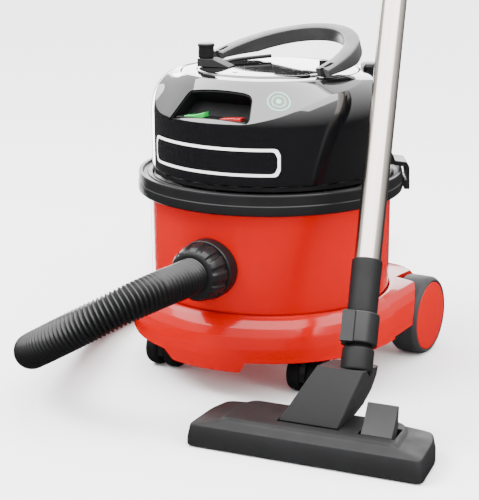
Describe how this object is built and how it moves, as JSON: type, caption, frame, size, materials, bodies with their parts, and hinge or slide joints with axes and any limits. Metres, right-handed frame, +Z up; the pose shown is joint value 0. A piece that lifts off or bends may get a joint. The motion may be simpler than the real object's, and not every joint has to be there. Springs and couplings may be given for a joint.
{
  "type": "tub vacuum cleaner",
  "caption": "Red tub vacuum cleaner for commercial use: drum on a castor dolly, black power head with folding handle and cable winder, ribbed hose, steel wand, combination floor tool.",
  "frame": {"origin": "on the floor, under the middle of the box round the machine, wand and floor tool (hose left out)", "axes": "+Z up, the machine's inlet faces -Y, +X to the right seen from the front"},
  "size_m": [0.8177, 1.0797, 1.1207],
  "materials": {
    "red_plastic": "gloss",
    "gloss_black": "gloss",
    "black_plastic": "satin",
    "grey_plastic": "satin",
    "rubber": "matte",
    "tyre": "matte",
    "steel": "brushed",
    "zinc": "satin",
    "copper": "satin",
    "cloth": "matte",
    "paper": "matte",
    "green_plastic": "satin",
    "switch_red": "satin",
    "bristle": "matte"
  },
  "bodies": {
    "machine": {"chassis": "red_plastic", "rear_axle": "zinc", "axle_bracket_left": "black_plastic", "axle_bracket_right": "black_plastic", "drum": "red_plastic", "drum_band": "black_plastic", "inlet_housing": "black_plastic", "dust_bag": "paper", "filter_cloth": "cloth", "clip_mount_left": "black_plastic", "clip_mount_right": "black_plastic", "hose_line": "rubber", "hose_coil": "rubber", "hose_cuff": "black_plastic"},
    "wheel_left": {"wheel_tyre_left": "tyre", "wheel_hub_left": "red_plastic"},
    "wheel_right": {"wheel_tyre_right": "tyre", "wheel_hub_right": "red_plastic"},
    "caster_left": {"caster_fork_left": "black_plastic"},
    "caster_right": {"caster_fork_right": "black_plastic"},
    "caster_wheels_left": {"caster_wheels_left": "black_plastic"},
    "caster_wheels_right": {"caster_wheels_right": "black_plastic"},
    "inlet_collar": {"hose_collar": "black_plastic"},
    "power_head": {"head_plate": "black_plastic", "head_cover": "gloss_black", "switch_tray": "black_plastic", "switch_module": "black_plastic", "motor_can": "zinc", "fan_housing": "black_plastic", "top_cap": "gloss_black", "handle_lug_left": "black_plastic", "handle_lug_right": "black_plastic", "cable_outlet": "black_plastic"},
    "rotor": {"motor_rotor": "copper", "impeller": "zinc"},
    "winder": {"winder_disc": "gloss_black", "cable_reel": "grey_plastic", "crank_base": "black_plastic"},
    "knob": {"crank_knob": "black_plastic"},
    "handle": {"carry_handle": "grey_plastic"},
    "clip_left": {"clip_left": "black_plastic"},
    "clip_right": {"clip_right": "black_plastic"},
    "switch_green": {"switch_green": "green_plastic"},
    "switch_red": {"switch_red": "switch_red"},
    "floor_tool": {"tool_body": "grey_plastic", "sole_plate": "steel", "neck_pin": "zinc"},
    "brushes": {"brush_front": "bristle", "brush_rear": "bristle"},
    "roller_left": {"tool_roller_left": "black_plastic"},
    "roller_right": {"tool_roller_right": "black_plastic"},
    "pedal": {"tool_pedal": "grey_plastic"},
    "neck": {"neck": "grey_plastic"},
    "wand": {"elbow": "grey_plastic", "tube_collar": "black_plastic", "wand_socket": "grey_plastic", "lower_tube": "steel", "upper_tube": "steel", "bent_tube": "steel"},
    "slider": {"suction_slider": "black_plastic"}
  },
  "joints": [
    {"name": "wheel_left_spin", "type": "hinge", "parent": "machine", "child": "wheel_left", "pos_m": [-0.2465, 0.0543, 0.054], "axis": [1, 0, 0], "continuous": true},
    {"name": "caster_left_swivel", "type": "hinge", "parent": "machine", "child": "caster_left", "pos_m": [-0.1897, -0.1777, 0], "axis": [0, 0, 1], "continuous": true},
    {"name": "caster_left_roll", "type": "hinge", "parent": "caster_left", "child": "caster_wheels_left", "pos_m": [-0.1897, -0.1617, 0.025], "axis": [1, 0, 0], "continuous": true},
    {"name": "wheel_right_spin", "type": "hinge", "parent": "machine", "child": "wheel_right", "pos_m": [0.0831, 0.0543, 0.054], "axis": [1, 0, 0], "continuous": true},
    {"name": "caster_right_swivel", "type": "hinge", "parent": "machine", "child": "caster_right", "pos_m": [0.0263, -0.1777, 0], "axis": [0, 0, 1], "continuous": true},
    {"name": "caster_right_roll", "type": "hinge", "parent": "caster_right", "child": "caster_wheels_right", "pos_m": [0.0263, -0.1617, 0.025], "axis": [1, 0, 0], "continuous": true},
    {"name": "inlet_collar_twist", "type": "hinge", "parent": "machine", "child": "inlet_collar", "pos_m": [-0.0817, -0.2451, 0.1685], "axis": [0, 1, 0], "range_deg": [0, 30]},
    {"name": "head_lift", "type": "slide", "parent": "machine", "child": "power_head", "axis": [0, 0, 1], "range_m": [0, 0.09]},
    {"name": "motor_spin", "type": "hinge", "parent": "power_head", "child": "rotor", "pos_m": [-0.0817, -0.0697, 0.285], "axis": [0, 0, 1], "continuous": true},
    {"name": "winder_turn", "type": "hinge", "parent": "power_head", "child": "winder", "pos_m": [-0.0817, -0.0697, 0.404], "axis": [0, 0, 1], "continuous": true},
    {"name": "knob_spin", "type": "hinge", "parent": "winder", "child": "knob", "pos_m": [-0.1559, -0.1091, 0.415], "axis": [0, 0, 1], "continuous": true},
    {"name": "handle_raise", "type": "hinge", "parent": "power_head", "child": "handle", "pos_m": [-0.0817, -0.0697, 0.4092], "axis": [0.9252, -0.3795, 0], "range_deg": [0, 68]},
    {"name": "clip_left_open", "type": "hinge", "parent": "machine", "child": "clip_left", "pos_m": [-0.23828, 0.0207, 0.252], "axis": [-0.5, -0.866, 0], "range_deg": [0, 55]},
    {"name": "clip_right_open", "type": "hinge", "parent": "machine", "child": "clip_right", "pos_m": [0.07488, 0.0207, 0.252], "axis": [-0.5, 0.866, 0], "range_deg": [0, 55]},
    {"name": "switch_green_rock", "type": "hinge", "parent": "power_head", "child": "switch_green", "pos_m": [-0.1147, -0.2027, 0.3545], "axis": [0, 1, 0], "range_deg": [0, 12]},
    {"name": "switch_red_rock", "type": "hinge", "parent": "power_head", "child": "switch_red", "pos_m": [-0.0627, -0.2027, 0.3545], "axis": [0, 1, 0], "range_deg": [0, 12]},
    {"name": "tool_lift", "type": "slide", "parent": "machine", "child": "floor_tool", "axis": [0, 0, 1], "range_m": [0, 0.2]},
    {"name": "neck_tilt", "type": "hinge", "parent": "floor_tool", "child": "neck", "pos_m": [0.11931, -0.31664, 0.022], "axis": [0.9947, 0.103, 0], "range_deg": [0, 16]},
    {"name": "wand_twist", "type": "hinge", "parent": "neck", "child": "wand", "pos_m": [0.136, -0.2275, 0.2061], "axis": [-0.1439, 0.5048, 0.8512], "range_deg": [-90, 90]},
    {"name": "suction_slide", "type": "slide", "parent": "wand", "child": "slider", "axis": [-0.1439, 0.5048, 0.8512], "range_m": [0, 0.02]},
    {"name": "pedal_press", "type": "hinge", "parent": "floor_tool", "child": "pedal", "pos_m": [0.19953, -0.32442, 0.036], "axis": [-0.9947, -0.103, 0], "range_deg": [0, 12]},
    {"name": "brush_lift", "type": "slide", "parent": "floor_tool", "child": "brushes", "axis": [0, 0, 1], "range_m": [0, 0.0041]},
    {"name": "roller_left_spin", "type": "hinge", "parent": "floor_tool", "child": "roller_left", "pos_m": [0.02249, -0.30405, 0.0077], "axis": [0.9947, 0.103, 0], "continuous": true},
    {"name": "roller_right_spin", "type": "hinge", "parent": "floor_tool", "child": "roller_right", "pos_m": [0.21148, -0.28447, 0.0077], "axis": [0.9947, 0.103, 0], "continuous": true}
  ],
  "couplings": [
    {"joint": "brush_lift", "follows": "pedal_press", "m_per_rad": 0.0191}
  ]
}
